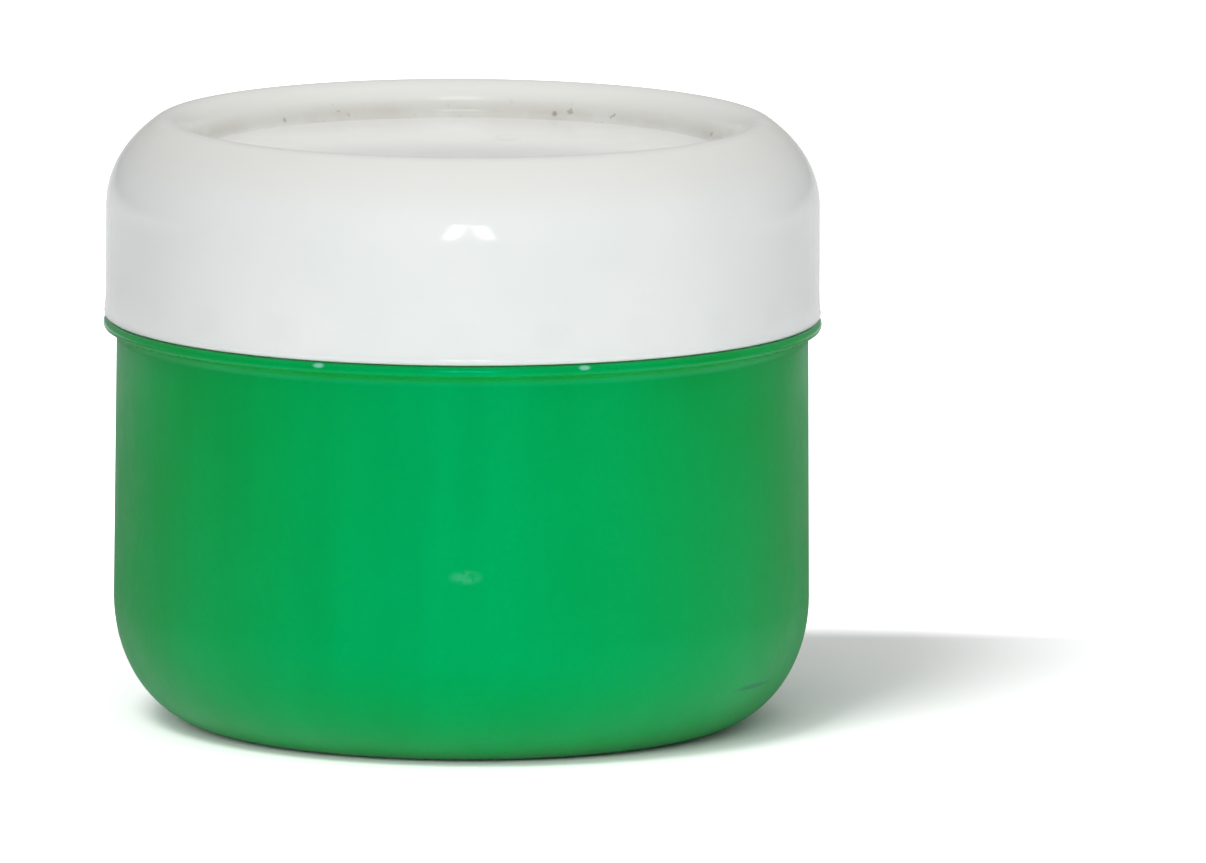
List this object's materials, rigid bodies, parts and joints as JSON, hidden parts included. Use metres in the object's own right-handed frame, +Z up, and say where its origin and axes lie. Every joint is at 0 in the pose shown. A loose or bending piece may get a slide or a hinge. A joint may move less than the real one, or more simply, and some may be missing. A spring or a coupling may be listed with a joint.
{
  "type": "paint jar",
  "caption": "Small round screw-top paint jar with a rounded bottom, a bead below the lid and a smooth lid with a rounded edge and a shallow dished top.",
  "frame": {"origin": "centre of the flat ring under the jar's foot", "axes": "+Z up along the jar's axis of symmetry, through the middle of the lid; +X and +Y are any two directions round it"},
  "size_m": [0.0462, 0.0462, 0.0392],
  "materials": {
    "jar_plastic": "moulded green polypropylene, glossy, very slightly translucent",
    "paint": "wet glossy green water-based paint",
    "lid_plastic": "moulded white polypropylene, smooth satin gloss, slightly translucent",
    "cap_plastic": "moulded white polypropylene, satin",
    "liner_foam": "soft white closed-cell foam, matt"
  },
  "bodies": {
    "jar": {"jar_body": "jar_plastic", "paint_fill": "paint"},
    "liner": {"liner_disc": "liner_foam"},
    "lid": {"inner_cap": "cap_plastic", "lid_shell": "lid_plastic"}
  },
  "joints": [
    {"name": "lid_lift", "type": "slide", "parent": "jar", "child": "liner", "axis": [0, 0, 1], "range_m": [0, 0.00847]},
    {"name": "lid_turn", "type": "hinge", "parent": "liner", "child": "lid", "pos_m": [0, 0, 0.0345], "axis": [0, 0, 1], "range_deg": [0, 720]}
  ],
  "couplings": [
    {"joint": "lid_turn", "follows": "lid_lift", "rad_per_m": 1484.3}
  ]
}
